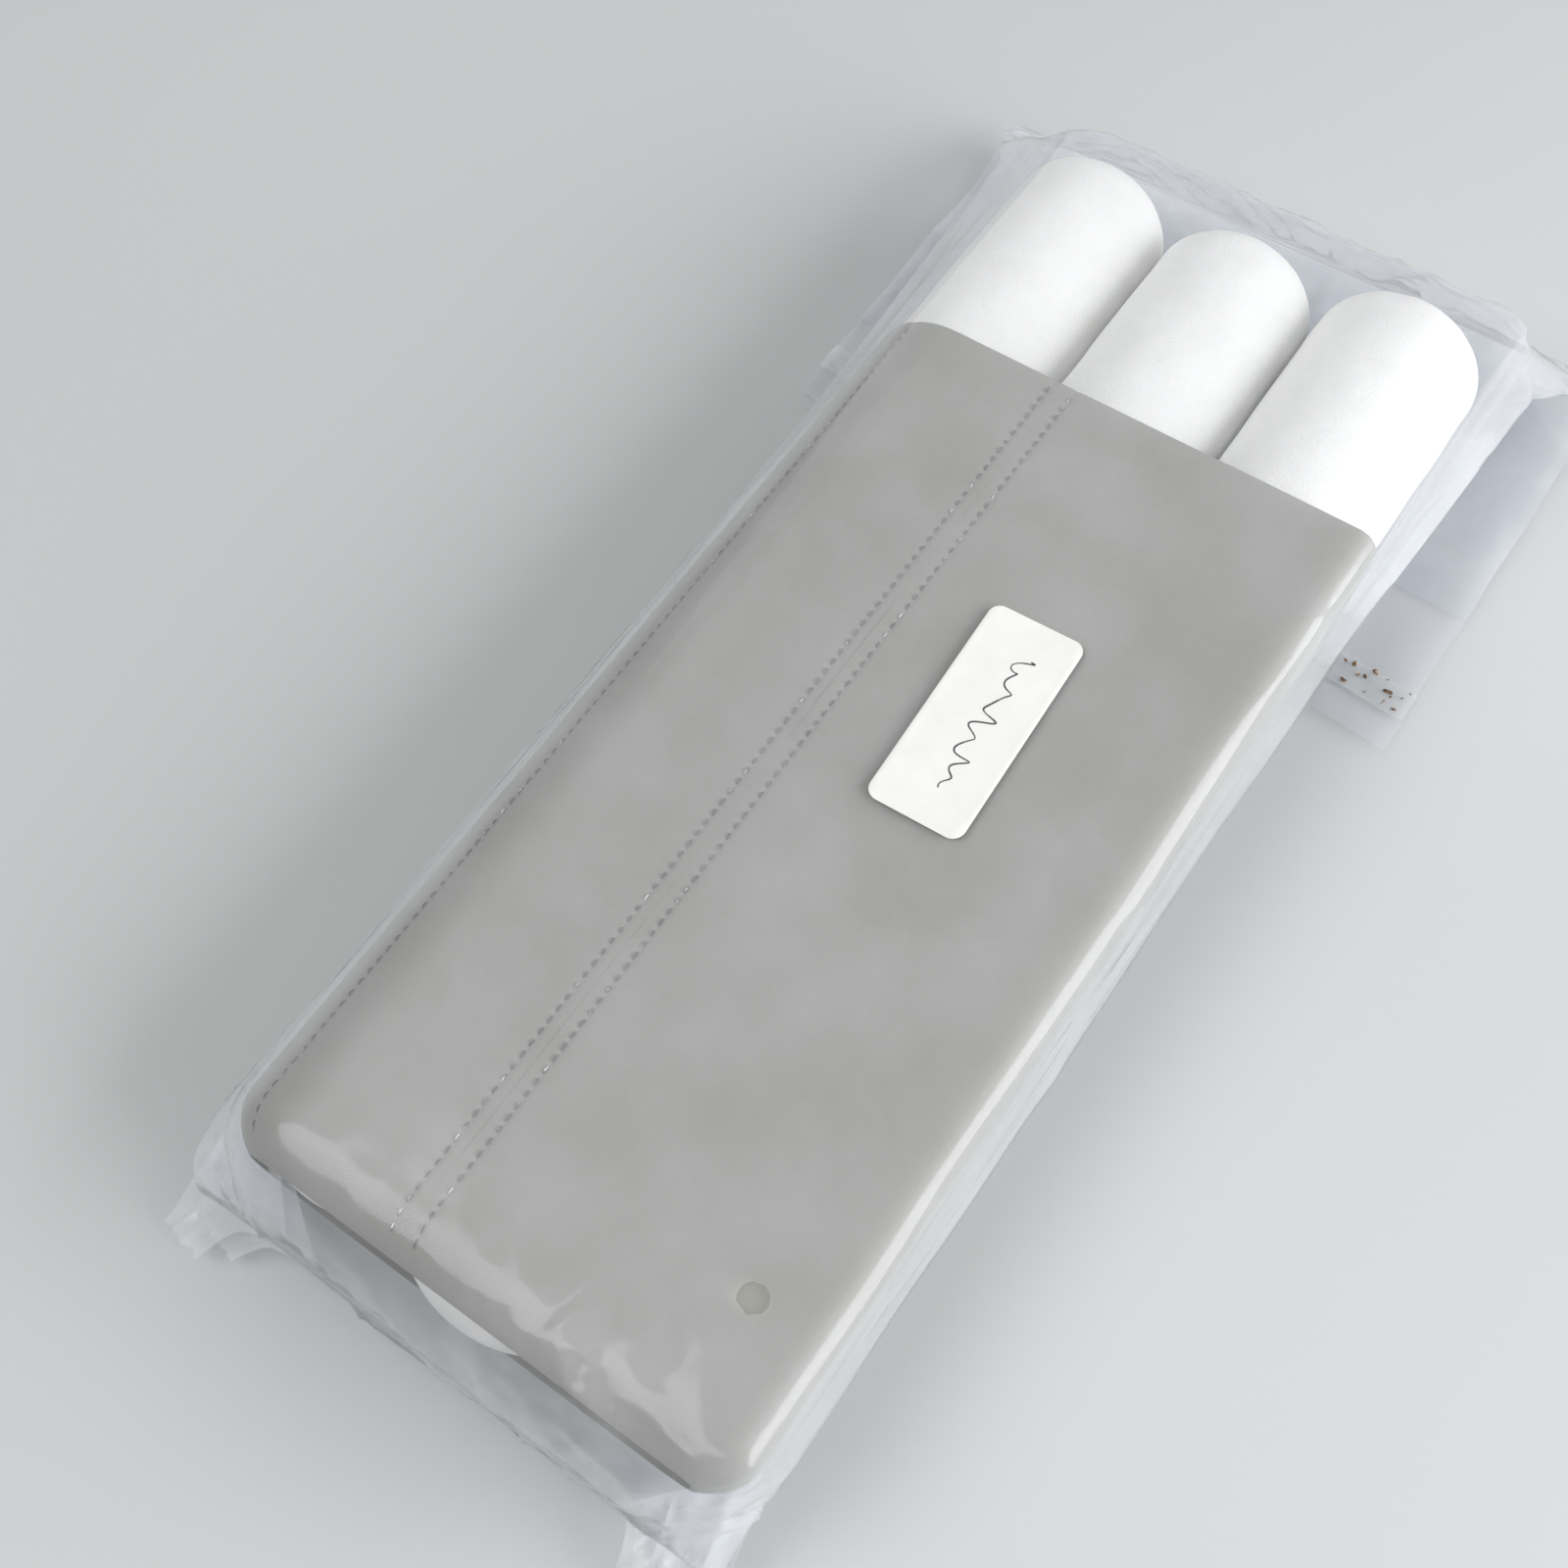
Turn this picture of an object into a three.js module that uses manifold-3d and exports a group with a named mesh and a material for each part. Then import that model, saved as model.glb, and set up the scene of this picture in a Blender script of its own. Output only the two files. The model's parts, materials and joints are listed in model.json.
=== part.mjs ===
// A packed set of six foam mini-roller refills in a sewn sleeve, inside a self-seal film bag.
//
// Millimetres, +Z up. The pack lies flat: +X is across the three columns of refills, +Y runs
// along them towards the folded mouth of the bag, and the origin is on the surface that the
// pack lies on, below its middle.

import * as THREE from 'three';
import { mergeVertices } from 'three/addons/utils/BufferGeometryUtils.js';
import Module from 'manifold-3d';

// ---- Driving dimensions ------------------------------------------------------------------

// Refills: a foam cover on a plastic core, with a plug at the domed end.
const rollerDiameter = 40;
const rollerLength = 150; // from the dome's tip to the open end
const domeRise = 13.3; // length of the rounded end
const openEndChamfer = 1.2;
const coreBore = 16.4;
const coreWall = 1.8;
const coreEndSetback = 1.0; // the core stops just inside the foam's open end
const domeFoamThickness = 10; // foam between the plug and the dome's tip
const plugFlange = 1.6;
const plugSpigotLength = 9;
const plugSocketDiameter = 5.4; // takes the tip of the frame's wire
const fitGap = 0.1; // round each inner piece
const columnGap = 0.3; // between neighbouring columns
const facingGap = 1.0; // between the open ends of the two refills of a column
const columnShifts = [3.3, 0.8, 4.1]; // how far each column has crept along the sleeve
const upperTravel = 3; // the refills' free play along the sleeve inside the closed bag
const lowerTravel = 0.5;
const sleeveTravelUp = 2; // the sleeve's own free play in the bag, refills and all
const sleeveTravelDown = 0.8;

// Sleeve: two panels of synthetic leather sewn into a flat tube.
const sleeveWall = 1.0;
const exposedLength = 54.2; // of the upper refills' straight length, past the sleeve's top end
const droopLength = 10.6; // the lower end comes down over this much of the lower domes
const sleeveLining = 0.3; // clearance between foam and sleeve
const creaseStandOut = 2.1; // the crease along the top right edge, out past the round side
const creaseRadius = 5;
const seamX = -12.3; // butt seam between the two panels, on the front
const seamGap = 0.3;
const seamStripWidth = 11;
const seamStripThickness = 0.4;
const lapStart = 28; // degrees round the left side from the top, where the lap begins
const lapEnd = 44; // ... and where the front panel ends
const lapGap = 0.1;

// Thread: lockstitch that rises between needle holes.
const stitchPitch = 2.75;
const threadWidth = 0.8;
const threadHigh = 0.5;
const threadLow = 0.15;
const threadClearance = 0.05;
const rowOffset = 2.75; // each front row from the butt seam
const edgeRowAngle = 34; // degrees round the left side
const threadTopInset = 2; // from the sleeve's ends
const threadLowInset = 0.8;

// Bag: film with welded sides and a tail that is folded under at the mouth.
const filmWall = 0.3;
const mouthFlare = 17; // the mouth lies flat, so it is wider than the pack at each side
const finWidth = 4.9; // the flattened film at each side, out to the welded edge
const filmSideRoom = 0.9; // over and beside the sleeve
const filmUnderRoom = 0.35; // under the sleeve
const weldWalls = 3; // the film's walls of solid weld at each side
const endRoom = 0.4; // past the lower domes at the end of their travel
const endSlack = 5.8; // loose film beyond them
const endRound = 85; // degrees through which the film rounds the lower end
const endRadius = 3; // of the film at the lower weld
const endTaper = 4; // at each side, narrower at the lower end and wider towards the mouth
const slopeRoom = 4.5; // the film slopes down this far past the start of the upper domes
const slopeLength = 25.2; // on down to the fold
const foldHeight = 8;
const foldRadius = 0.5;
const ventDiameter = 6;
const ventX = 47.1;
const ventFromEnd = 30.5; // of the sleeve
const earLength = 13;
const earWidth = 24;
const earThickness = 0.6;
const earTipInset = 9; // of the ear's low corner from its root
const earTipSlant = 2; // its outer corner is this much higher
const earOverlap = 3; // how far its inner end runs up into the film

// Tail: past the fold, with the self-seal flap at its end.
const tailThickness = 0.3;
const tailLengthLeft = 99; // from the fold; the cut edge is a little askew
const tailLengthRight = 112.5;
const tailLift = 0.15; // the adhesive strip lies under it
const tailRoom = 0.25; // between the tail and the bag over it
const rampLead = 0.5; // it starts to rise towards the fold this far before the film's slope
const tailClear = 6; // the film over the tail starts to lift this far before its cut edge
const tailRise = 4; // and is lifted within this length
const stripWidth = 8;
const stripInset = 9;
const stripThickness = 0.1;
const hingeGap = 0.4;

// Label, stuck on the film.
const labelWidth = 21.5;
const labelLength = 51.4;
const labelCorner = 2.8;
const labelThickness = 0.15;
const labelX = 17.3;
const labelY = 0.9;
const labelTurn = 2.4; // degrees
const labelGap = 0.05;

const roundSegments = 24;
const sideSteps = 7; // facets in a quarter of the sleeve's round side
const ringSteps = 4; // facets in each rounded part of the film's section
const leastHollowWalls = 4; // the film is a solid weld where it is lower than this many walls
const mergeTolerance = 1e-4;

// ---- Dependent sizes ---------------------------------------------------------------------

const rollerRadius = rollerDiameter / 2;
const pitch = rollerDiameter + columnGap;
const coreRadius = coreBore / 2 + coreWall;
const foldStack = tailLift + tailThickness + tailRoom; // how far the tail lifts the film
const sleeveInnerRadius = rollerRadius + sleeveLining;
const sleeveRadius = sleeveInnerRadius + sleeveWall;
const axisHeight = foldStack + filmWall + filmUnderRoom + sleeveRadius;
const upperDomeStart = facingGap / 2 + rollerLength - domeRise;
const lowerDomeStart = -upperDomeStart;
const lowestDomeStart = lowerDomeStart + Math.min(...columnShifts) - lowerTravel;
const highestDomeStart = upperDomeStart + Math.max(...columnShifts) + upperTravel;
const creaseX = sleeveRadius + creaseStandOut - creaseRadius; // from the outer column's axis
const creaseZ = sleeveRadius - creaseRadius;
const sleeveTopEnd = upperDomeStart - exposedLength;
const sleeveLowEnd = lowestDomeStart - droopLength;
const filmRadius = sleeveRadius + filmSideRoom; // inside of the film round the sleeve
const filmTop = axisHeight + filmRadius + filmWall;
const filmHalfWidth = pitch + sleeveRadius + finWidth;
const tailHalf = filmHalfWidth + mouthFlare;
const slopeStart = highestDomeStart + sleeveTravelUp + slopeRoom;
const foldY = slopeStart + slopeLength;
const tailEndLeft = foldY - tailLengthLeft;
const tailEndRight = foldY - tailLengthRight;

// ---- Materials ---------------------------------------------------------------------------

function material(color, roughness, metalness = 0, opacity = 1) {
  const transparent = opacity < 1;
  return new THREE.MeshStandardMaterial({ color, roughness, metalness, opacity, transparent });
}

const foamWhite = () => material(0xf4f4ef, 0.95);
const corePlastic = () => material(0xd9dcd8, 0.5);
const plugPlastic = () => material(0xb9bfc2, 0.45);
const greyLeather = () => material(0x9b9b94, 0.7);
const liningStrip = () => material(0x77776f, 0.9);
const greyThread = () => material(0x6a6b68, 0.8);
const clearFilm = () => material(0xdfe4ea, 0.15, 0, 0.3);
const adhesive = () => material(0xe9e6dc, 0.35, 0, 0.5);
const labelPaper = () => material(0xf7f7f7, 0.6);

// ---- Mesh helpers ------------------------------------------------------------------------

const wasm = await Module();
wasm.setup();

function toSolid(geometry) {
  const bare = geometry.clone();
  for (const name of Object.keys(bare.attributes)) {
    if (name !== 'position') bare.deleteAttribute(name);
  }
  const merged = mergeVertices(bare, mergeTolerance);
  return new wasm.Manifold(new wasm.Mesh({
    numProp: 3,
    vertProperties: new Float32Array(merged.attributes.position.array),
    triVerts: new Uint32Array(merged.index.array),
  }));
}

function fromSolid(solid) {
  const mesh = solid.getMesh();
  const geometry = new THREE.BufferGeometry();
  geometry.setAttribute('position', new THREE.BufferAttribute(mesh.vertProperties, 3));
  geometry.setIndex(new THREE.BufferAttribute(mesh.triVerts, 1));
  geometry.computeVertexNormals();
  return geometry;
}

function facesOut(positions, index) {
  let volume = 0;
  const corner = (i) => new THREE.Vector3().fromArray(positions, 3 * i);
  for (let i = 0; i < index.length; i += 3) {
    const [a, b, c] = [corner(index[i]), corner(index[i + 1]), corner(index[i + 2])];
    volume += a.dot(b.cross(c));
  }
  return volume > 0;
}

function closedGeometry(positions, index) {
  const order = facesOut(positions, index) ? index : index.slice().reverse();
  const geometry = new THREE.BufferGeometry();
  geometry.setAttribute('position', new THREE.Float32BufferAttribute(positions, 3));
  geometry.setIndex(order);
  geometry.computeVertexNormals();
  return geometry;
}

// A sheet between two surfaces that are given on the same grid of rows and columns.
function sheetGeometry(outerRows, innerRows) {
  const rows = outerRows.length;
  const columns = outerRows[0].length;
  const positions = [...outerRows.flat(), ...innerRows.flat()].flatMap((p) => p);
  const index = [];
  const outer = (r, c) => r * columns + c;
  const inner = (r, c) => rows * columns + outer(r, c);
  const quad = (a, b, c, d) => index.push(a, b, c, a, c, d);
  for (let r = 0; r + 1 < rows; r += 1) {
    for (let c = 0; c + 1 < columns; c += 1) {
      quad(outer(r, c), outer(r, c + 1), outer(r + 1, c + 1), outer(r + 1, c));
      quad(inner(r, c), inner(r + 1, c), inner(r + 1, c + 1), inner(r, c + 1));
    }
    const last = columns - 1;
    quad(outer(r, 0), outer(r + 1, 0), inner(r + 1, 0), inner(r, 0));
    quad(outer(r, last), inner(r, last), inner(r + 1, last), outer(r + 1, last));
  }
  for (let c = 0; c + 1 < columns; c += 1) {
    const last = rows - 1;
    quad(outer(0, c), inner(0, c), inner(0, c + 1), outer(0, c + 1));
    quad(outer(last, c), outer(last, c + 1), inner(last, c + 1), inner(last, c));
  }
  return closedGeometry(positions, index);
}

// A solid lofted through rings of equally many points, closed by a flat fan at each end.
function loftGeometry(rings) {
  const count = rings[0].length;
  const positions = rings.flat().flatMap((p) => p);
  const index = [];
  for (let r = 0; r + 1 < rings.length; r += 1) {
    for (let i = 0; i < count; i += 1) {
      const next = (i + 1) % count;
      const [a, b] = [r * count + i, r * count + next];
      index.push(a, b, b + count, a, b + count, a + count);
    }
  }
  const middle = (ring) => ring.reduce((sum, p) => sum.map((v, k) => v + p[k] / count), [0, 0, 0]);
  const first = positions.length / 3;
  positions.push(...middle(rings[0]), ...middle(rings[rings.length - 1]));
  const lastRing = (rings.length - 1) * count;
  for (let i = 0; i < count; i += 1) {
    const next = (i + 1) % count;
    index.push(first, next, i);
    index.push(first + 1, lastRing + i, lastRing + next);
  }
  return closedGeometry(positions, index);
}

// An outline in the YZ plane, extruded along X about its middle.
function extrudeAlongX(outline, width) {
  const shape = new THREE.Shape(outline.map(([y, z]) => new THREE.Vector2(y, z)));
  const geometry = new THREE.ExtrudeGeometry(shape, { depth: width, bevelEnabled: false });
  geometry.translate(0, 0, -width / 2);
  // (y, z, x) -> (x, y, z)
  geometry.applyMatrix4(new THREE.Matrix4().set(0, 0, 1, 0, 1, 0, 0, 0, 0, 1, 0, 0, 0, 0, 0, 1));
  return geometry;
}

function lathe(profile) {
  const points = profile.map(([r, y]) => new THREE.Vector2(r, y));
  return new THREE.LatheGeometry(points, roundSegments);
}

function node(name, geometry, look) {
  const mesh = new THREE.Mesh(geometry, look);
  mesh.name = name;
  return mesh;
}

const object = new THREE.Group();

// ---- Refills -----------------------------------------------------------------------------

// Each is drawn with its open end at y = 0 and its dome towards +Y.
const coreTop = rollerLength - domeFoamThickness - fitGap - plugFlange - fitGap;
const plugTop = rollerLength - domeFoamThickness - fitGap;

function foamCoverGeometry() {
  const domeSteps = 6;
  const profile = [[0, rollerLength - domeFoamThickness]];
  profile.push([coreRadius + fitGap, rollerLength - domeFoamThickness]);
  profile.push([coreRadius + fitGap, 0]);
  profile.push([rollerRadius - openEndChamfer, 0]);
  profile.push([rollerRadius, openEndChamfer]);
  for (let i = 0; i <= domeSteps; i += 1) {
    const angle = (i / domeSteps) * (Math.PI / 2);
    const r = i === domeSteps ? 0 : rollerRadius * Math.cos(angle);
    profile.push([r, rollerLength - domeRise + domeRise * Math.sin(angle)]);
  }
  return lathe(profile);
}

function coreGeometry() {
  const inner = coreBore / 2;
  return lathe([
    [inner, coreEndSetback], [coreRadius, coreEndSetback],
    [coreRadius, coreTop], [inner, coreTop], [inner, coreEndSetback],
  ]);
}

function plugGeometry() {
  const socket = plugSocketDiameter / 2;
  const spigot = coreBore / 2 - fitGap;
  const shoulder = plugTop - plugFlange;
  return lathe([
    [socket, shoulder - plugSpigotLength], [spigot, shoulder - plugSpigotLength],
    [spigot, shoulder], [coreRadius, shoulder], [coreRadius, plugTop],
    [socket, plugTop], [socket, shoulder - plugSpigotLength],
  ]);
}

const columnNames = ['left', 'middle', 'right'];
columnNames.forEach((column, i) => {
  for (const end of ['upper', 'lower']) {
    const refill = new THREE.Group();
    const facing = end === 'upper' ? 1 : -1;
    refill.position.set((i - 1) * pitch, columnShifts[i] + facing * (facingGap / 2), axisHeight);
    if (end === 'lower') refill.rotation.z = Math.PI;
    refill.add(node(`foam_cover_${end}_${column}`, foamCoverGeometry(), foamWhite()));
    refill.add(node(`core_tube_${end}_${column}`, coreGeometry(), corePlastic()));
    refill.add(node(`end_plug_${end}_${column}`, plugGeometry(), plugPlastic()));
    object.add(refill);
  }
});

// ---- Sleeve ------------------------------------------------------------------------------

// A point of the flat tube's section: a base on the plane of the axes, the place of the outer
// face from there, and that face's direction.
const onFlat = (x, up) => ({ base: x, outX: 0, outZ: up * sleeveRadius, nx: 0, nz: up });
function onRound(side, degreesFromTop, centreX, centreZ, radius) {
  const angle = THREE.MathUtils.degToRad(degreesFromTop);
  const [nx, nz] = [side * Math.sin(angle), Math.cos(angle)];
  const [outX, outZ] = [side * centreX + nx * radius, centreZ + nz * radius];
  return { base: side * pitch, outX, outZ, nx, nz };
}

function arc(side, from, to, centreX = 0, centreZ = 0, radius = sleeveRadius) {
  const steps = Math.max(1, Math.round((Math.abs(to - from) / 90) * sideSteps));
  return Array.from({ length: steps + 1 }, (_, i) => (
    onRound(side, from + ((to - from) * i) / steps, centreX, centreZ, radius)
  ));
}

// The right side turns down round the crease and runs straight on to the round of the column.
function creasedSide() {
  const apart = Math.hypot(creaseX, creaseZ);
  const lean = Math.acos(creaseZ / apart) + Math.acos((sleeveRadius - creaseRadius) / apart);
  const turn = THREE.MathUtils.radToDeg(lean);
  return [...arc(1, 0, turn, creaseX, creaseZ, creaseRadius), ...arc(1, turn, 180)];
}

// The sleeve's lower end follows the fall of the domes that it covers.
function fall(y) {
  const past = Math.max(0, lowestDomeStart - y) / domeRise;
  return rollerRadius * (1 - Math.sqrt(1 - past * past));
}

const droopSteps = 6;
const sleeveStations = [sleeveTopEnd, lowestDomeStart];
for (let i = 1; i <= droopSteps; i += 1) {
  sleeveStations.push(lowestDomeStart - (droopLength * i) / droopSteps);
}

// Each section point carries how far its sheet's faces are inside the sleeve's outer face.
function sectionPoint(s, depth, y) {
  const share = 1 - fall(y) / sleeveRadius;
  const x = s.base + share * (s.outX - s.nx * depth);
  return [x, y, axisHeight + share * (s.outZ - s.nz * depth)];
}

function panelGeometry(section, stations = sleeveStations) {
  const surface = (face) => stations.map((y) => section.map((s) => sectionPoint(s, s[face], y)));
  return sheetGeometry(surface('over'), surface('under'));
}
const withDepths = (points, over, under) => points.map((s) => ({ ...s, over, under }));

const lapDepth = sleeveWall / 2; // the panels are skived to half their wall in the lap
const skive = 0.6; // degrees over which a skived face steps

const frontPanel = [
  ...withDepths([onFlat(seamX - seamGap / 2, 1), onFlat(-pitch, 1)], 0, sleeveWall),
  ...withDepths(arc(-1, 0, lapStart).slice(1), 0, sleeveWall),
  ...withDepths(arc(-1, lapStart + skive, lapEnd), 0, lapDepth - lapGap / 2),
];
object.add(node('sleeve_front_panel', panelGeometry(frontPanel), greyLeather()));

const lapUnderEnd = lapStart + 2 * skive;
const mainPanel = [
  ...withDepths([onFlat(seamX + seamGap / 2, 1)], 0, sleeveWall),
  ...withDepths(creasedSide(), 0, sleeveWall),
  ...withDepths(arc(-1, 180, lapEnd + 2 * skive), 0, sleeveWall),
  ...withDepths(arc(-1, lapEnd + skive, lapUnderEnd), lapDepth + lapGap / 2, sleeveWall),
];
object.add(node('sleeve_main_panel', panelGeometry(mainPanel), greyLeather()));

const stripOver = sleeveWall + threadClearance;
const seamStrip = withDepths(
  [onFlat(seamX - seamStripWidth / 2, 1), onFlat(seamX + seamStripWidth / 2, 1)],
  stripOver,
  stripOver + seamStripThickness,
);
const stripStations = [sleeveTopEnd - threadTopInset, lowestDomeStart];
object.add(node('sleeve_seam_strip', panelGeometry(seamStrip, stripStations), liningStrip()));

// A row of stitches lies on the sleeve's outside, seen from the side as a saw of low hills.
function threadGeometry() {
  const from = sleeveLowEnd + threadLowInset;
  const to = sleeveTopEnd - threadTopInset;
  const count = Math.floor((to - from) / stitchPitch);
  const height = (y) => sleeveRadius - fall(y) + threadClearance;
  const outline = sleeveStations.filter((y) => y > from && y < to).map((y) => [y, height(y)]);
  outline.unshift([to, height(to)]);
  outline.push([from, height(from)]);
  for (let i = 0; i <= 2 * count; i += 1) {
    const y = from + ((to - from) * i) / (2 * count);
    outline.push([y, height(y) + (i % 2 ? threadHigh : threadLow)]);
  }
  return extrudeAlongX(outline, threadWidth);
}

function addThread(name, x, turn) {
  const thread = node(name, threadGeometry(), greyThread());
  thread.position.set(x, 0, axisHeight);
  thread.rotation.y = THREE.MathUtils.degToRad(-turn);
  object.add(thread);
}
addThread('thread_seam_row_left', seamX - rowOffset, 0);
addThread('thread_seam_row_right', seamX + rowOffset, 0);
addThread('thread_edge_row', -pitch, edgeRowAngle);

// ---- Bag ---------------------------------------------------------------------------------

const leastReach = 1.02; // of a ring's radius, so that a tangent to its round side exists

// One ring round the pack: flat over the columns, round at the sides, and drawn out along
// tangents to the welded edge. `room` moves every face of the ring inwards.
function bagRing({ y, radius, middle, halfWidth }, room) {
  const r = radius - room;
  const reach = Math.max(halfWidth - weldWalls * room - pitch, r * leastReach);
  const leave = THREE.MathUtils.radToDeg(Math.asin(r / reach));
  const quarter = Array.from({ length: ringSteps + 1 }, (_, i) => (leave * i) / ringSteps);
  const point = (side, degrees, up) => {
    const angle = THREE.MathUtils.degToRad(degrees);
    return [side * (pitch + r * Math.sin(angle)), y, middle + up * r * Math.cos(angle)];
  };
  const edge = (side) => [side * (pitch + reach), y, middle];
  // Over the sleeve's crease, and on along a tangent to the right edge.
  const share = radius / (filmRadius + filmWall);
  const [centreX, centreZ] = [creaseX * share, creaseZ * share];
  const round = radius - centreZ - room;
  const apart = Math.hypot(reach - centreX, centreZ);
  const turn = Math.PI - Math.atan2(reach - centreX, centreZ) - Math.acos(round / apart);
  const crease = Array.from({ length: ringSteps + 1 }, (_, i) => {
    const angle = (turn * i) / ringSteps;
    const [x, z] = [centreX + round * Math.sin(angle), centreZ + round * Math.cos(angle)];
    return [pitch + x, y, middle + z];
  });
  return [
    ...crease, edge(1),
    ...quarter.map((a) => point(1, a, -1)).reverse(),
    ...quarter.map((a) => point(-1, a, -1)), edge(-1),
    ...quarter.map((a) => point(-1, a, 1)).reverse(),
  ];
}

const underside = (radius, bottom) => bottom + radius; // height of a ring's middle
const lowerFilmStart = lowestDomeStart - sleeveTravelDown - endRoom;
const lowerFilmEnd = lowerFilmStart - domeRise - endSlack - filmWall;
const flatEnd = Math.min(tailEndLeft, tailEndRight) - tailClear;
const liftedFrom = flatEnd + tailRise;
const smallRadius = (filmTop - foldStack) / 2;

function bagStations() {
  const stations = [];
  const endSteps = 5;
  const sweep = THREE.MathUtils.degToRad(endRound);
  for (let i = endSteps; i >= 0; i -= 1) {
    const angle = (i / endSteps) * sweep;
    const radius = endRadius + (filmTop / 2 - endRadius) * Math.cos(angle);
    const along = Math.sin(angle) / Math.sin(sweep);
    const y = lowerFilmStart + (lowerFilmEnd - lowerFilmStart) * along;
    const halfWidth = filmHalfWidth - endTaper * (1 - Math.cos(angle));
    stations.push({ y, radius, middle: filmTop / 2, halfWidth });
  }
  stations.push({ y: flatEnd, radius: filmTop / 2, middle: filmTop / 2, halfWidth: filmHalfWidth });
  const middle = underside(smallRadius, foldStack);
  const wideHalf = filmHalfWidth + endTaper;
  stations.push({ y: liftedFrom, radius: smallRadius, middle, halfWidth: filmHalfWidth });
  stations.push({ y: slopeStart, radius: smallRadius, middle, halfWidth: wideHalf });
  const slopeSteps = 4;
  const foldEdge = foldY - hingeGap;
  for (let i = 1; i <= slopeSteps; i += 1) {
    const t = i / slopeSteps;
    stations.push({
      y: slopeStart + (foldEdge - slopeStart) * t,
      radius: smallRadius + (foldRadius - smallRadius) * t,
      middle: middle + (foldHeight - middle) * t,
      halfWidth: wideHalf + (tailHalf - wideHalf) * t,
    });
  }
  return stations;
}

// A corner of the film that stands out past the lower end, below the middle of its height.
function earGeometry(side) {
  const root = filmHalfWidth - endTaper;
  const lowEnd = lowerFilmEnd - earLength;
  const shape = new THREE.Shape();
  shape.moveTo(side * root, lowerFilmStart);
  const [innerX, bendX, tipX] = [root - earWidth, root - earWidth / 2, root - earTipInset];
  shape.lineTo(side * innerX, lowerFilmEnd + earOverlap);
  shape.quadraticCurveTo(side * bendX, lowerFilmEnd, side * tipX, lowEnd);
  shape.lineTo(side * (root - earTipSlant), lowEnd + earTipSlant);
  shape.closePath();
  const depth = earThickness;
  const ear = new THREE.ExtrudeGeometry(shape, { depth, bevelEnabled: false, curveSegments: 3 });
  ear.translate(0, 0, filmTop / 2 - earThickness / 2);
  return ear;
}

function bagGeometry() {
  const stations = bagStations();
  const outside = toSolid(loftGeometry(stations.map((s) => bagRing(s, 0))));
  const hollow = stations.filter((s) => s.radius > leastHollowWalls * filmWall).map((s) => ({ ...s }));
  hollow[0].y += filmWall;
  const inside = toSolid(loftGeometry(hollow.map((s) => bagRing(s, filmWall))));
  const [ventRadius, cut] = [ventDiameter / 2, filmRadius]; // only the film's top is in reach
  const vent = new THREE.CylinderGeometry(ventRadius, ventRadius, cut, roundSegments);
  vent.rotateX(Math.PI / 2);
  vent.translate(ventX, sleeveLowEnd + ventFromEnd, filmTop);
  const ears = [-1, 1].map((side) => toSolid(earGeometry(side)));
  const withEars = ears.reduce((solid, ear) => solid.add(ear), outside);
  return fromSolid(withEars.subtract(inside).subtract(toSolid(vent)));
}
object.add(node('bag_film', bagGeometry(), clearFilm()));

// The tail runs from the fold back under the pack. Its cut edge is askew.
const cutEdgeY = (x) => (
  (tailEndLeft + tailEndRight) / 2 + ((tailEndRight - tailEndLeft) * x) / (2 * tailHalf)
);

function tailGeometry() {
  const sides = [-tailHalf, tailHalf];
  const rampSteps = 4;
  const hinge = foldY - hingeGap / 2;
  const rampStart = slopeStart - rampLead;
  const rampTop = foldHeight - foldRadius - hingeGap - tailThickness;
  const rows = (lift) => {
    const out = [sides.map((x) => [x, cutEdgeY(x), tailLift + lift])];
    for (let i = 0; i <= rampSteps; i += 1) {
      const t = i / rampSteps;
      const y = rampStart + (hinge - rampStart) * t;
      const z = tailLift + (rampTop - tailLift) * t * t;
      out.push(sides.map((x) => [x, y, z + lift]));
    }
    return out;
  };
  return sheetGeometry(rows(tailThickness), rows(0));
}
object.add(node('bag_tail', tailGeometry(), clearFilm()));

function adhesiveGeometry() {
  const near = (x) => cutEdgeY(x) + stripInset;
  const shape = new THREE.Shape([
    new THREE.Vector2(-tailHalf, near(-tailHalf)),
    new THREE.Vector2(tailHalf, near(tailHalf)),
    new THREE.Vector2(tailHalf, near(tailHalf) + stripWidth),
    new THREE.Vector2(-tailHalf, near(-tailHalf) + stripWidth),
  ]);
  return new THREE.ExtrudeGeometry(shape, { depth: stripThickness, bevelEnabled: false });
}
object.add(node('adhesive_strip', adhesiveGeometry(), adhesive()));

// ---- Label -------------------------------------------------------------------------------

function labelGeometry() {
  const [w, l, r] = [labelWidth / 2, labelLength / 2, labelCorner];
  const shape = new THREE.Shape();
  shape.moveTo(w - r, -l);
  shape.absarc(w - r, -l + r, r, -Math.PI / 2, 0, false);
  shape.absarc(w - r, l - r, r, 0, Math.PI / 2, false);
  shape.absarc(-w + r, l - r, r, Math.PI / 2, Math.PI, false);
  shape.absarc(-w + r, -l + r, r, Math.PI, 1.5 * Math.PI, false);
  const depth = labelThickness;
  return new THREE.ExtrudeGeometry(shape, { depth, bevelEnabled: false, curveSegments: 4 });
}
const label = node('label', labelGeometry(), labelPaper());
label.position.set(labelX, labelY, filmTop + labelGap);
label.rotation.z = THREE.MathUtils.degToRad(labelTurn);
object.add(label);

export default object;
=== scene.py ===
import json
import math

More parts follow.
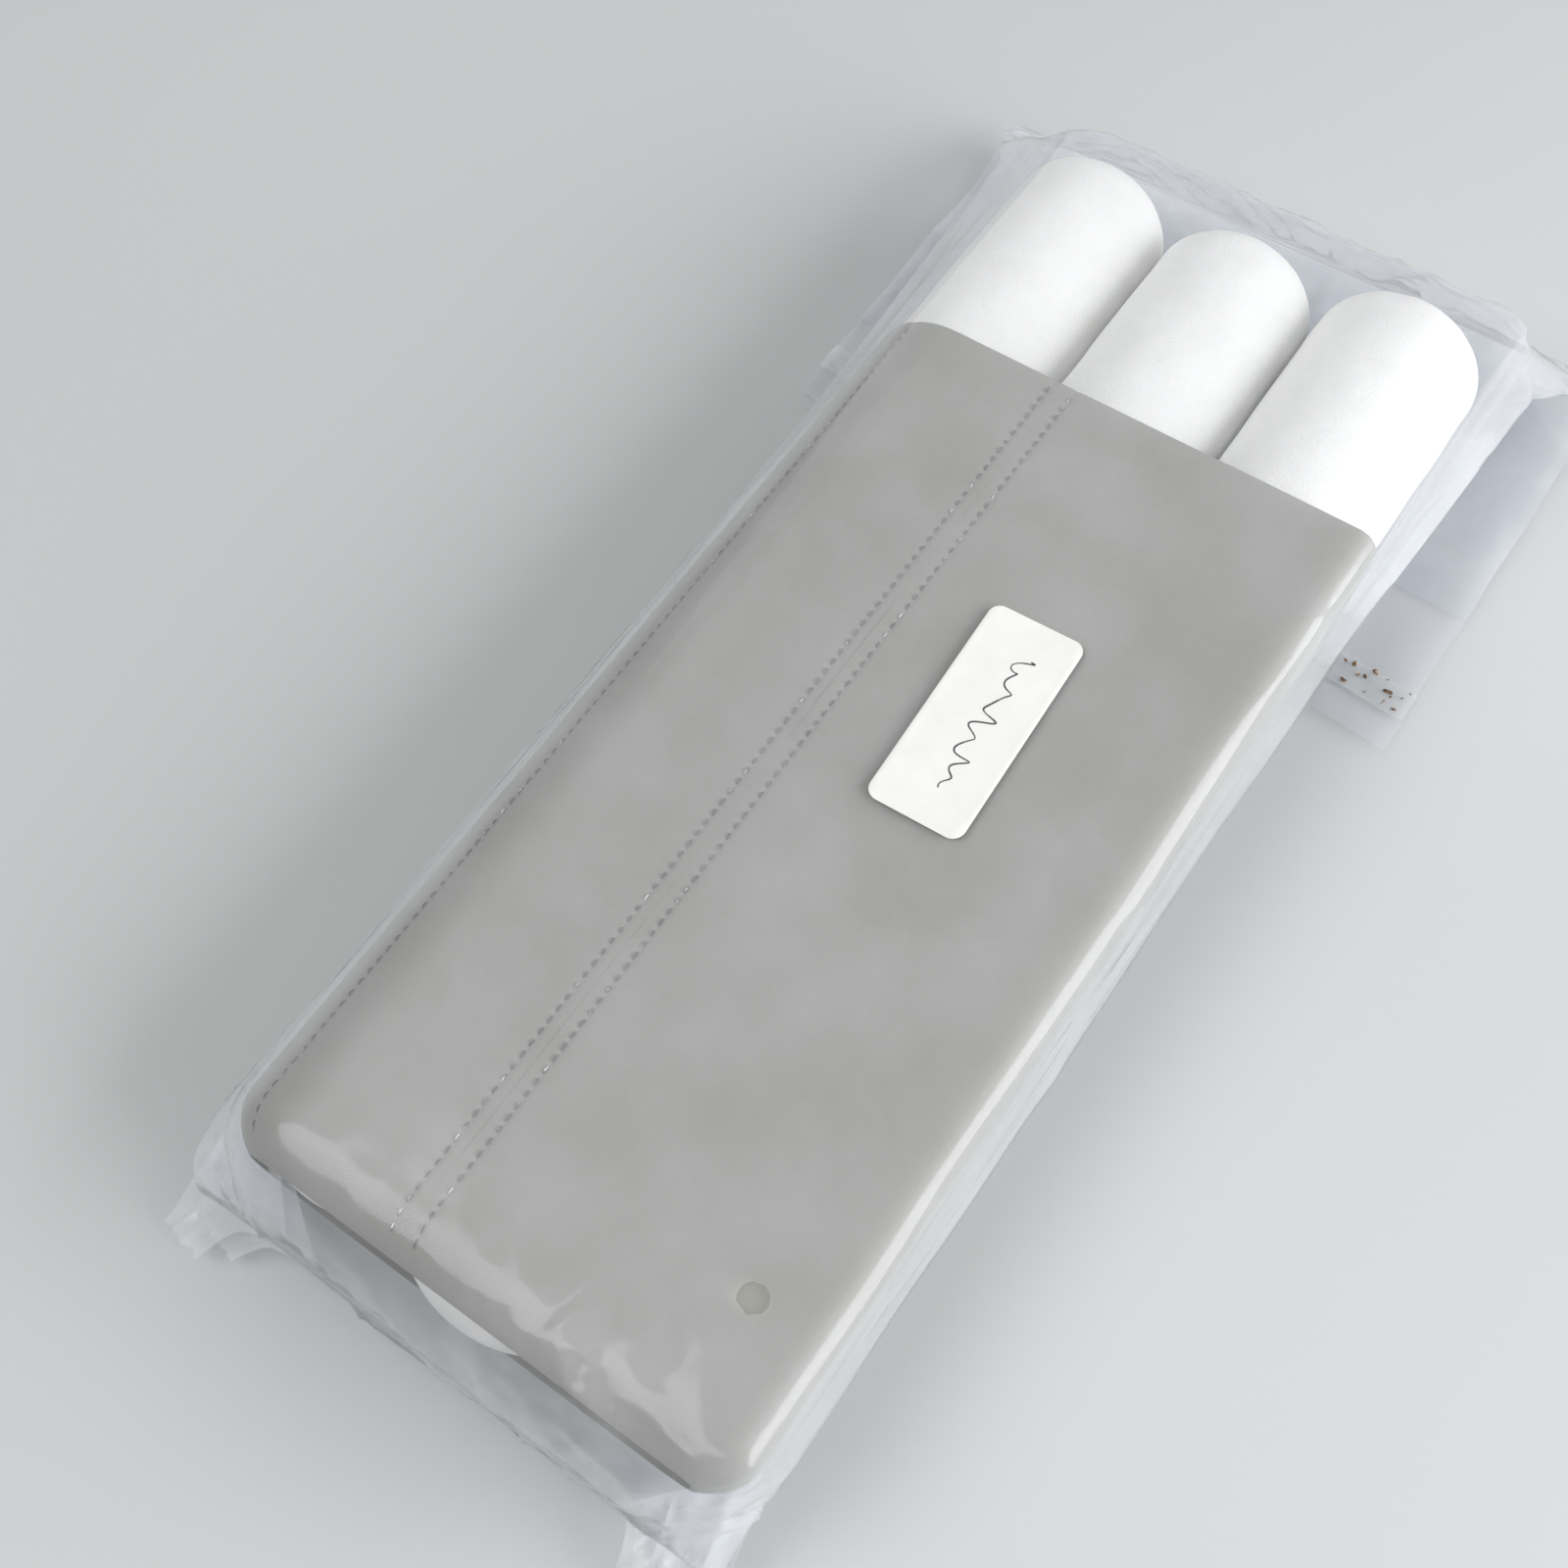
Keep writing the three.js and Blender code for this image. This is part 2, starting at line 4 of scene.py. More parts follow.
import bpy
import numpy as np
from mathutils import Euler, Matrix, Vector


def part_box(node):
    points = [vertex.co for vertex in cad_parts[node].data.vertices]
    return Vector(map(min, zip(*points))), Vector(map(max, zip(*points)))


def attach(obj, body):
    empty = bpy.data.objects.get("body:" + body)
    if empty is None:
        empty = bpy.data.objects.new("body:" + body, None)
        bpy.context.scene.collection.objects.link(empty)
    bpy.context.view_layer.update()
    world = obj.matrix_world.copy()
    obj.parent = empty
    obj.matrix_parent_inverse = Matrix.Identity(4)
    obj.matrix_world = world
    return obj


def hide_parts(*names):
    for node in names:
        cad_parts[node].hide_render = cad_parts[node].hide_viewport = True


# A pack of foam mini-roller refills in a sewn sleeve and a clear film bag, lying on a pale floor.
# Lengths in this script are millimetres in the part's own frame; meshes are made in metres.

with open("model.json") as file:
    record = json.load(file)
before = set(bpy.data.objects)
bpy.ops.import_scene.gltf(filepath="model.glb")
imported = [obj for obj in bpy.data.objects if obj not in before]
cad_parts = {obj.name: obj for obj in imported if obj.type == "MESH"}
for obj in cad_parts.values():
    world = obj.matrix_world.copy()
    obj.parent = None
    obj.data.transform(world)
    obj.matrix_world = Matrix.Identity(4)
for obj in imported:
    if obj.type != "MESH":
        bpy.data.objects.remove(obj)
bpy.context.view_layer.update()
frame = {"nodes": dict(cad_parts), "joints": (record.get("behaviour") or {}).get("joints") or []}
MM = 0.001


def box_mm(node):
    low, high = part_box(node)
    return np.array(low) / MM, np.array(high) / MM


# ---- Places taken from the frame --------------------------------------------------------------

COLUMNS = ("left", "middle", "right")
ENDS = ("upper", "lower")

cover_low, cover_high = box_mm("foam_cover_upper_right")
PITCH = (cover_low[0] + cover_high[0]) / 2
FOAM_RADIUS = (cover_high[0] - cover_low[0]) / 2
REFILL_LENGTH = cover_high[1] - cover_low[1]
core_low, core_high = box_mm("core_tube_upper_right")
AXIS_Z = (core_low[2] + core_high[2]) / 2
CORE_RADIUS = (core_high[2] - core_low[2]) / 2
plug_high = box_mm("end_plug_upper_right")[1]
TIP_FOAM = cover_high[1] - plug_high[1]

main_low, main_high = box_mm("sleeve_main_panel")
SLEEVE_RADIUS = main_high[2] - AXIS_Z
SLEEVE_TOP_Y, SLEEVE_LOW_Y = main_high[1], main_low[1]
ROWS_X = [sum(box_mm(n)[k][0] for k in (0, 1)) / 2 for n in
          ("thread_seam_row_left", "thread_seam_row_right")]
SEAM_X = sum(ROWS_X) / 2

bag_low, bag_high = box_mm("bag_film")
tail_low, tail_high = box_mm("bag_tail")
strip_low, strip_high = box_mm("adhesive_strip")
label_low, label_high = box_mm("label")
FILM_TOP = bag_high[2]
FOLD_Y = bag_high[1]
TAIL_HALF = tail_high[0]
label_centre = (label_low + label_high) / 2

fold_joint = next(j for j in frame["joints"] if j["name"] == "tail_fold")
FOLD_Z = fold_joint["pos_m"][2] / MM

# ---- Sizes of the finer shapes ----------------------------------------------------------------

DOME_RISE = 13.3
RIM_ROUND = 1.4
SLEEVE_WALL = 1.0
CREASE_RADIUS = 5.0
CREASE_X = main_high[0] - PITCH - CREASE_RADIUS
CREASE_Z = SLEEVE_RADIUS - CREASE_RADIUS
SEAM_GAP = 0.01
BORE_GAP = 0.15
STITCH_PITCH = 2.75
THREAD_RADIUS = 0.20
# The edge row and the two ends of the lap, in degrees round the left side.
EDGE_ROW_ANGLE = 34.0
LAP_START, LAP_END = 28.0, 44.0
DROOP_LENGTH = 10.6
FILM_WALL = 0.12
FILM_ROOM = 0.9
FIN_WIDTH = 4.9
EAR_LENGTH = 13.0
SLOPE_LENGTH = 25.2
CUT_SKEW = 13.5
VENT = (47.1, -117.0, 3.0)
LABEL_SIZE, LABEL_CORNER, LABEL_TURN = (21.5, 51.4), 2.8, 2.4
MOUTH_Y = 103.7

# ---- Smooth noise -----------------------------------------------------------------------------


def smooth(t):
    t = np.clip(t, 0, 1)
    return t * t * (3 - 2 * t)


NOISE_CELLS = 64


def noise2(x, y, seed):
    """Smooth noise from -1 to 1, one hill or hollow per unit."""
    table = np.random.default_rng(seed).uniform(-1, 1, (NOISE_CELLS, NOISE_CELLS))
    x, y = np.broadcast_arrays(np.asarray(x, float), np.asarray(y, float))
    ix, iy = np.floor(x).astype(int), np.floor(y).astype(int)
    fx, fy = smooth(x - ix), smooth(y - iy)

    def at(dx, dy):
        return table[(ix + dx) % NOISE_CELLS, (iy + dy) % NOISE_CELLS]

    low = at(0, 0) * (1 - fx) + at(1, 0) * fx
    high = at(0, 1) * (1 - fx) + at(1, 1) * fx
    return low * (1 - fy) + high * fy


def creased(x, y, seed):
    """Noise with sharp ridges, from -1 in the hollows to 1 on the ridge lines."""
    bent = 0.6 * noise2(x * 0.7 + 9, y * 0.7 + 5, seed + 50)
    return 1 - 2 * np.abs(noise2(x + bent, y - bent, seed)) ** 0.7


def bump_at(d, width):
    return np.exp(-(d / width) ** 2)


# ---- Mesh building ----------------------------------------------------------------------------

SHARP_ANGLE = 55.0


def make_mesh(name, points, faces, material, smooth_shading=True):
    mesh = bpy.data.meshes.new(name)
    mesh.from_pydata((np.asarray(points) * MM).tolist(), [], [list(map(int, f)) for f in faces])
    mesh.validate()
    mesh.polygons.foreach_set("use_smooth", [smooth_shading] * len(mesh.polygons))
    mesh.set_sharp_from_angle(angle=math.radians(SHARP_ANGLE))
    mesh.materials.append(material)
    made = bpy.data.objects.new(name, mesh)
    bpy.context.scene.collection.objects.link(made)
    return made


def grid_normals(grid, around=False):
    """Unit normals of a grid of points, rows by columns; columns may wrap round."""
    if around:
        across = np.roll(grid, -1, 1) - np.roll(grid, 1, 1)
    else:
        across = np.gradient(grid, axis=1)
    along = np.gradient(grid, axis=0)
    normal = np.cross(across, along)
    return normal / np.maximum(np.linalg.norm(normal, axis=2, keepdims=True), 1e-9)


def shell_faces(rows, columns, around=False, hole=None, closed_ends=False):
    """Faces of a thin shell between two grids, the second one behind the first."""
    back = rows * columns
    across = columns if around else columns - 1
    open_cells = np.zeros((rows - 1, across), bool)
    if hole is not None:
        r0, r1, c0, c1 = hole
        open_cells[r0:r1, c0:c1] = True
    faces = []
    for r in range(rows - 1):
        for c in range(across):
            if open_cells[r, c]:
                continue
            d = (c + 1) % columns
            a, b, e, f = r * columns + c, r * columns + d, (r + 1) * columns + d, (r + 1) * columns + c
            faces.append((a, b, e, f))
            faces.append((a + back, f + back, e + back, b + back))
    if hole is not None:
        loop = [(r0, c) for c in range(c0, c1)] + [(r, c1) for r in range(r0, r1)]
        loop += [(r1, c) for c in range(c1, c0, -1)] + [(r, c0) for r in range(r1, r0, -1)]
        ids = [r * columns + c for r, c in loop]
        for a, b in zip(ids, ids[1:] + ids[:1]):
            faces.append((a, b, b + back, a + back))
    last = (rows - 1) * columns
    if closed_ends:
        faces.append([c for c in range(columns)][::-1])
        faces.append([last + c for c in range(columns)])
        faces.append([back + c for c in range(columns)])
        faces.append([back + last + c for c in range(columns)][::-1])
    else:
        for c in range(across):
            d = (c + 1) % columns
            faces.append((c, c + back, d + back, d))
            faces.append((last + c, last + d, last + d + back, last + c + back))
    if not around:
        for r in range(rows - 1):
            a, b = r * columns, (r + 1) * columns
            faces.append((a, b, b + back, a + back))
            a, b = a + columns - 1, b + columns - 1
            faces.append((a, a + back, b + back, b))
    return faces


def make_shell(name, front, wall, material, around=False, hole=None, closed_ends=False):
    """A thin closed shell: a grid of points and the same grid set back by wall along its normals."""
    behind = front - grid_normals(front, around) * wall
    points = np.concatenate([front.reshape(-1, 3), behind.reshape(-1, 3)])
    faces = shell_faces(front.shape[0], front.shape[1], around, hole, closed_ends)
    return make_mesh(name, points, faces, material)


# ---- Materials --------------------------------------------------------------------------------


class Nodes:
    """Short names for building one node material."""

    def __init__(self, name):
        self.material = bpy.data.materials.new(name)
        self.material.use_nodes = True
        self.tree = self.material.node_tree
        self.shader = self.tree.nodes["Principled BSDF"]
        self.output = self.tree.nodes["Material Output"]
        self.place = self.add("ShaderNodeTexCoord").outputs["Object"]

    def add(self, kind, **values):
        node = self.tree.nodes.new(kind)
        for key, value in values.items():
            if key in node.inputs:
                node.inputs[key].default_value = value
            else:
                setattr(node, key, value)
        return node

    def link(self, a, b):
        self.tree.links.new(a, b)

    def stretched(self, scale):
        mapping = self.add("ShaderNodeMapping")
        mapping.inputs["Scale"].default_value = scale
        self.link(self.place, mapping.inputs["Vector"])
        return mapping.outputs["Vector"]

    def noise(self, size_mm, detail=3.0, vector=None):
        node = self.add("ShaderNodeTexNoise", Scale=1 / (size_mm * MM), Detail=detail)
        self.link(vector or self.place, node.inputs["Vector"])
        return node.outputs["Fac"]

    def cells(self, size_mm):
        node = self.add("ShaderNodeTexVoronoi", Scale=1 / (size_mm * MM))
        self.link(self.place, node.inputs["Vector"])
        return node.outputs["Distance"]

    def ramp(self, factor, stops):
        node = self.add("ShaderNodeValToRGB")
        while len(node.color_ramp.elements) < len(stops):
            node.color_ramp.elements.new(0.5)
        for element, (at, colour) in zip(node.color_ramp.elements, stops):
            element.position = at
            element.color = (*colour, 1) if len(colour) == 3 else colour
        self.link(factor, node.inputs["Fac"])
        return node.outputs["Color"]

    def grey(self, factor, stops):
        return self.ramp(factor, [(at, (v, v, v)) for at, v in stops])

    def maths(self, operation, a, b):
        node = self.add("ShaderNodeMath", operation=operation)
        for socket, value in zip(node.inputs, (a, b)):
            if isinstance(value, bpy.types.NodeSocket):
                self.link(value, socket)
            else:
                socket.default_value = value
        return node.outputs["Value"]

    def bump(self, height, depth_mm, strength=1.0, onto=None):
        node = self.add("ShaderNodeBump", Strength=strength, Distance=depth_mm * MM)
        self.link(height, node.inputs["Height"])
        if onto is not None:
            self.link(onto, node.inputs["Normal"])
        return node.outputs["Normal"]

    def set(self, **values):
        for key, value in values.items():
            name = key.replace("_", " ")
            if isinstance(value, bpy.types.NodeSocket):
                self.link(value, self.shader.inputs[name])
            else:
                self.shader.inputs[name].default_value = value
        return self.material


def foam_material():
    n = Nodes("foam")
    shade = n.ramp(n.noise(9, 4), [(0.3, (0.84, 0.837, 0.812)), (0.7, (0.88, 0.878, 0.856))])
    pores = n.bump(n.cells(0.55), 0.16, 0.6)
    fibres = n.bump(n.noise(0.9, 5), 0.2, 0.5, pores)
    return n.set(Base_Color=shade, Roughness=0.95, Normal=fibres, Specular_IOR_Level=0.15,
                 Subsurface_Weight=0.15, Subsurface_Scale=0.002)


def leather_material():
    n = Nodes("sleeve_leather")
    wide = n.noise(42, 4)
    shade = n.ramp(wide, [(0.3, (0.292, 0.290, 0.266)), (0.52, (0.302, 0.300, 0.275)),
                          (0.75, (0.314, 0.312, 0.287))])
    grain = n.bump(n.cells(0.7), 0.05, 0.5)
    fine = n.bump(n.noise(0.35, 4), 0.05, 0.4, grain)
    rough = n.grey(n.noise(14, 3), [(0.3, 0.52), (0.7, 0.66)])
    return n.set(Base_Color=shade, Roughness=rough, Normal=fine, Specular_IOR_Level=0.35)


def thread_material():
    n = Nodes("thread")
    # The thread is dark. The near-white top stop of this colour ramp paints glints on it, so those
    # spots are painted highlights.
    shade = n.ramp(n.noise(3.1, 1), [(0.4, (0.10, 0.102, 0.10)), (0.60, (0.19, 0.192, 0.185)),
                                     (0.68, (0.70, 0.71, 0.70))])
    twist = n.add("ShaderNodeTexWave", Scale=1 / (0.9 * MM), Distortion=1.5)
    twist.bands_direction = "DIAGONAL"
    n.link(n.place, twist.inputs["Vector"])
    return n.set(Base_Color=shade, Roughness=0.55, Normal=n.bump(twist.outputs["Fac"], 0.08, 0.7))


def plastic_material(name, colour):
    n = Nodes(name)
    low = tuple(0.92 * c for c in colour)
    shade = n.ramp(n.noise(12, 3), [(0.3, low), (0.7, colour)])
    rough = n.grey(n.noise(2.5, 3), [(0.3, 0.38), (0.7, 0.5)])
    return n.set(Base_Color=shade, Roughness=rough, Normal=n.bump(n.noise(0.8, 3), 0.03, 0.4))


def woven_material():
    n = Nodes("seam_strip")
    weave = n.add("ShaderNodeTexWave", Scale=1 / (3.0 * MM), Distortion=0.6)
    n.link(n.place, weave.inputs["Vector"])
    shade = n.ramp(weave.outputs["Fac"], [(0.2, (0.17, 0.17, 0.155)), (0.8, (0.26, 0.26, 0.24))])
    return n.set(Base_Color=shade, Roughness=0.9, Normal=n.bump(weave.outputs["Fac"], 0.12, 0.6))


def paper_material():
    n = Nodes("label_paper")
    shade = n.ramp(n.noise(6, 4), [(0.3, (0.74, 0.74, 0.725)), (0.7, (0.78, 0.78, 0.765))])
    return n.set(Base_Color=shade, Roughness=0.55, Normal=n.bump(n.noise(0.4, 4), 0.02, 0.35))


def ink_material():
    n = Nodes("pen_ink")
    shade = n.ramp(n.noise(1.2, 3), [(0.35, (0.035, 0.035, 0.045)), (0.7, (0.12, 0.12, 0.14))])
    return n.set(Base_Color=shade, Roughness=0.5)


def debris_material():
    n = Nodes("debris")
    shade = n.ramp(n.noise(1.5, 3), [(0.35, (0.05, 0.03, 0.018)), (0.58, (0.16, 0.09, 0.045)),
                                     (0.75, (0.60, 0.45, 0.30))])
    return n.set(Base_Color=shade, Roughness=0.8, Normal=n.bump(n.noise(0.4, 4), 0.1, 0.8))


def film_material(name, haze_low, haze_high, tint=(0.86, 0.87, 0.88)):
    """Clear film: see-through, with a thin uneven haze and a mirror shine that grows aslant."""
    n = Nodes(name)
    patches = n.grey(n.noise(26, 5), [(0.35, haze_low), (0.7, haze_high)])
    scratches = n.noise(3.0, 4, n.stretched((1.0, 0.12, 1.0)))
    surface = n.bump(scratches, 0.02, 0.5)
    n.set(Base_Color=(*tint, 1), Roughness=0.35, Normal=surface)
    clear = n.add("ShaderNodeBsdfTransparent", Color=(0.985, 0.99, 1.0, 1))
    aslant = n.add("ShaderNodeLayerWeight", Blend=0.5)
    n.link(surface, aslant.inputs["Normal"])
    sharper = n.maths("POWER", aslant.outputs["Facing"], 3.0)
    haze = n.maths("ADD", n.maths("MULTIPLY", sharper, 0.22), patches)
    hazy = n.add("ShaderNodeMixShader")
    n.link(haze, hazy.inputs["Fac"])
    n.link(clear.outputs["BSDF"], hazy.inputs[1])
    n.link(n.shader.outputs["BSDF"], hazy.inputs[2])
    gloss = n.add("ShaderNodeBsdfGlossy", Roughness=0.13, Color=(1, 1, 1, 1))
    n.link(surface, gloss.inputs["Normal"])
    steep = n.maths("MULTIPLY", n.maths("POWER", aslant.outputs["Facing"], 4.0), 0.75)
    shiny = n.add("ShaderNodeMixShader")
    n.link(n.maths("ADD", steep, 0.011), shiny.inputs["Fac"])
    n.link(hazy.outputs["Shader"], shiny.inputs[1])
    n.link(gloss.outputs["BSDF"], shiny.inputs[2])
    n.link(shiny.outputs["Shader"], n.output.inputs["Surface"])
    return n.material


FOAM = foam_material()
LEATHER = leather_material()
THREAD = thread_material()
PAPER = paper_material()
INK = ink_material()
DEBRIS = debris_material()
FILM = film_material("film", 0.065, 0.125)
CRUMPLED_FILM = film_material("crumpled_film", 0.11, 0.24)
TAIL_FILM = film_material("tail_film", 0.04, 0.09)
ADHESIVE = film_material("adhesive", 0.12, 0.30, (0.86, 0.85, 0.80))


# ---- Refills ----------------------------------------------------------------------------------


def cover_profile():
    """Radius and place along the refill, from the bore's inner end round the dome to the bore."""
    bore = CORE_RADIUS + BORE_GAP
    top = REFILL_LENGTH - TIP_FOAM + BORE_GAP
    start = REFILL_LENGTH - DOME_RISE
    points = [(0.0, top), (bore * 0.6, top)]
    points += [(bore, y) for y in np.linspace(top, 0.3, 8)]
    points += [(bore + 0.3, 0.0), (FOAM_RADIUS - RIM_ROUND, 0.0)]
    points += [(FOAM_RADIUS - RIM_ROUND + RIM_ROUND * math.sin(a), RIM_ROUND - RIM_ROUND * math.cos(a))
               for a in np.linspace(0.3, math.pi / 2, 5)]
    points += [(FOAM_RADIUS, y) for y in np.linspace(4, start - 1, 48)]
    points += [(FOAM_RADIUS * math.cos(a), start + DOME_RISE * math.sin(a))
               for a in np.linspace(0, math.pi / 2, 26)]
    points[-1] = (0.0, REFILL_LENGTH)
    return points


def foam_cover(end, column, seed):
    """A foam tube with a rounded end, faintly lumpy, as its body of revolution about Y."""
    low, high = box_mm(f"foam_cover_{end}_{column}")
    facing = 1 if end == "upper" else -1
    open_y = low[1] if end == "upper" else high[1]
    centre_x = (low[0] + high[0]) / 2
    profile = np.array(cover_profile())
    around = 96
    turn = np.arange(around) * 2 * math.pi / around
    radius, along = profile[:, :1], profile[:, 1:]
    outside = smooth((radius - CORE_RADIUS - 3) / 4)
    lumps = 0.16 * noise2(along / 11, 4 * np.sin(turn)[None] + seed, seed)
    lumps = (lumps + 0.07 * noise2(along / 4, turn[None] * 9, seed + 1) - 0.18) * outside
    reach = radius + lumps
    grid = np.stack([centre_x + reach * np.sin(turn)[None],
                     np.broadcast_to(open_y + facing * along, reach.shape),
                     AXIS_Z + reach * np.cos(turn)[None]], axis=2)
    rows = len(profile)
    points = [grid[0].mean(0), *grid[1:-1].reshape(-1, 3), grid[-1].mean(0)]
    faces = []
    for c in range(around):
        d = (c + 1) % around
        faces.append((0, 1 + d, 1 + c))
        for r in range(rows - 3):
            a = 1 + r * around
            faces.append((a + c, a + d, a + around + d, a + around + c))
        a = 1 + (rows - 3) * around
        faces.append((a + c, a + d, len(points) - 1))
    if facing > 0:
        faces = [f[::-1] for f in faces]
    cover = make_mesh(f"foam_{end}_{column}", points, faces, FOAM)
    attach(cover, f"refill_{end}_{column}")
    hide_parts(f"foam_cover_{end}_{column}")


for number, (end, column) in enumerate((e, c) for e in ENDS for c in COLUMNS):
    foam_cover(end, column, 20 + 3 * number)

CORE = plastic_material("core_plastic", (0.80, 0.82, 0.81))
PLUG = plastic_material("plug_plastic", (0.62, 0.65, 0.67))
STRIP = woven_material()
CAD_LOOKS = {"core_tube": CORE, "end_plug": PLUG, "sleeve_seam_strip": STRIP}
for name, node in frame["nodes"].items():
    for start, look in CAD_LOOKS.items():
        if name.startswith(start):
            node.data.materials.clear()
            node.data.materials.append(look)


# ---- Sleeve -----------------------------------------------------------------------------------

DROOP_START = SLEEVE_LOW_Y + DROOP_LENGTH


def fall(y):
    """How far the sleeve's lower end comes down, as it follows the domes under it."""
    past = np.clip((DROOP_START - y) / DOME_RISE, 0, 0.95)
    return FOAM_RADIUS * (1 - np.sqrt(1 - past ** 2))


def section_path():
    """The tube's section from the seam to the right: base, place of the face and its direction."""
    lean = math.acos(CREASE_Z / math.hypot(CREASE_X, CREASE_Z))
    path = []

    def flat(start, end, up):
        path.extend((x, 0.0, up * SLEEVE_RADIUS, 0.0, up) for x in np.linspace(start, end, 12))

    def arc(side, start, end, centre=(0.0, 0.0), radius=SLEEVE_RADIUS):
        for a in np.linspace(start, end, 60):
            nx, nz = side * math.sin(a), math.cos(a)
            path.append((side * PITCH, centre[0] + nx * radius, centre[1] + nz * radius, nx, nz))

    flat(SEAM_X, PITCH, 1)
    arc(1, 0, 2 * lean, (CREASE_X, CREASE_Z), CREASE_RADIUS)
    arc(1, 2 * lean, math.pi)
    flat(PITCH, -PITCH, -1)
    arc(-1, math.pi, 0)
    flat(-PITCH, SEAM_X, 1)
    path = np.array(path)
    steps = np.hypot(np.diff(path[:, 0] + path[:, 1]), np.diff(path[:, 2]))
    return np.concatenate([[0], np.cumsum(steps)]), path


PATH_S, PATH = section_path()


class Section:
    """Places round the flat tube, as a distance s from the seam to the right, in millimetres."""

    def __init__(self, s):
        self.base, self.out_x, self.out_z, self.nx, self.nz = (
            np.interp(s, PATH_S, column) for column in PATH.T)

    def points(self, depth, y):
        share = (1 - fall(y) / SLEEVE_RADIUS)[:, None]
        x = self.base + share * (self.out_x - self.nx * depth)
        z = AXIS_Z + share * (self.out_z - self.nz * depth)
        return np.stack([x, np.broadcast_to(y[:, None], x.shape), z], 2)


AROUND = PATH_S[-1]
ARC = SLEEVE_RADIUS * math.pi / 180
FROM_LEFT_CORNER = AROUND - (PITCH + SEAM_X)
LAP_S = (FROM_LEFT_CORNER - LAP_START * ARC, FROM_LEFT_CORNER - LAP_END * ARC)
ROW_S = [ROWS_X[0] - SEAM_X + AROUND, ROWS_X[1] - SEAM_X, FROM_LEFT_CORNER - EDGE_ROW_ANGLE * ARC]
TOP_INSET, LOW_INSET = 2.0, 0.8
STITCH_COUNT = int((SLEEVE_TOP_Y - SLEEVE_LOW_Y - TOP_INSET - LOW_INSET) / STITCH_PITCH)
STITCH_YS = SLEEVE_TOP_Y - TOP_INSET - STITCH_PITCH * np.arange(STITCH_COUNT + 1)


def sleeve_relief(s, y):
    """Depth of the sleeve's face below its full radius: gentle waves, seam pull and stitch dimples."""
    s, y = s[None], y[:, None]
    top = bump_at(np.minimum(np.abs(s - 40), np.abs(s - AROUND)), 60)
    relief = 0.16 + 0.14 * noise2(s / 26, y / 38, 3) + 0.05 * noise2(s / 7, y / 10, 4) * top
    for k, row in enumerate(ROW_S):
        pull = bump_at((y - STITCH_YS[0]) % STITCH_PITCH - STITCH_PITCH / 2, 0.7)
        relief = relief + bump_at(s - row, 0.55) * (0.16 + 0.12 * (1 - pull))
        relief = relief + 0.10 * bump_at(s - row, 3.0) * (1 + 0.5 * noise2(y / 5, k, 8))
    return relief


def columns_between(start, end, step=2.2, near=0.45):
    """Places along the section, close together at the stitch rows and at the two ends."""
    places = [np.linspace(start, end, max(3, int((end - start) / step)))]
    for row in [start, end, *ROW_S]:
        places.append(row + np.arange(-5, 6) * near)
    merged = np.unique(np.round(np.concatenate(places), 3))
    merged = merged[(merged >= start) & (merged <= end)]
    keep = [merged[0]]
    for s in merged[1:-1]:
        if s - keep[-1] > 0.3 and merged[-1] - s > 0.2:
            keep.append(s)
    return np.array([*keep, merged[-1]])


ROW_YS = np.linspace(SLEEVE_LOW_Y, SLEEVE_TOP_Y, 2 * STITCH_COUNT + 1)
EDGE_ROUND = 0.3


def panel(name, s, over, under, replaced):
    """A sleeve panel: its outer face is `over` and its inner face `under` below the full radius."""
    section = Section(s)
    y = ROW_YS
    inset = EDGE_ROUND * np.exp(-np.minimum(y - y[0], y[-1] - y) / 0.35)[:, None]
    relief = sleeve_relief(s, y)
    outer = relief + inset + over[None]
    inner = np.minimum(relief, 0.3) + under[None] - inset * 0.5
    grids = [section.points(depth, y) for depth in (outer, np.maximum(inner, outer + 0.25))]
    points = np.concatenate([g.reshape(-1, 3) for g in grids])
    faces = shell_faces(len(y), len(s))
    made = make_mesh(name, points, faces, LEATHER)
    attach(made, "sleeve")
    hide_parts(replaced)


LAP_DEPTH = SLEEVE_WALL / 2
wall_in = SLEEVE_WALL - 0.15

front_s = columns_between(LAP_S[1], AROUND - SEAM_GAP / 2)
skived = smooth((LAP_S[0] - front_s) / 0.8)
panel("front_panel", front_s, 0 * front_s, wall_in - skived * (wall_in - LAP_DEPTH + 0.12),
      "sleeve_front_panel")

main_s = columns_between(SEAM_GAP / 2, LAP_S[0] - 0.6)
tucked = smooth((main_s - LAP_S[1] + 1.0) / 0.8)
panel("main_panel", main_s, tucked * (LAP_DEPTH + 0.08), wall_in + 0 * main_s,
      "sleeve_main_panel")


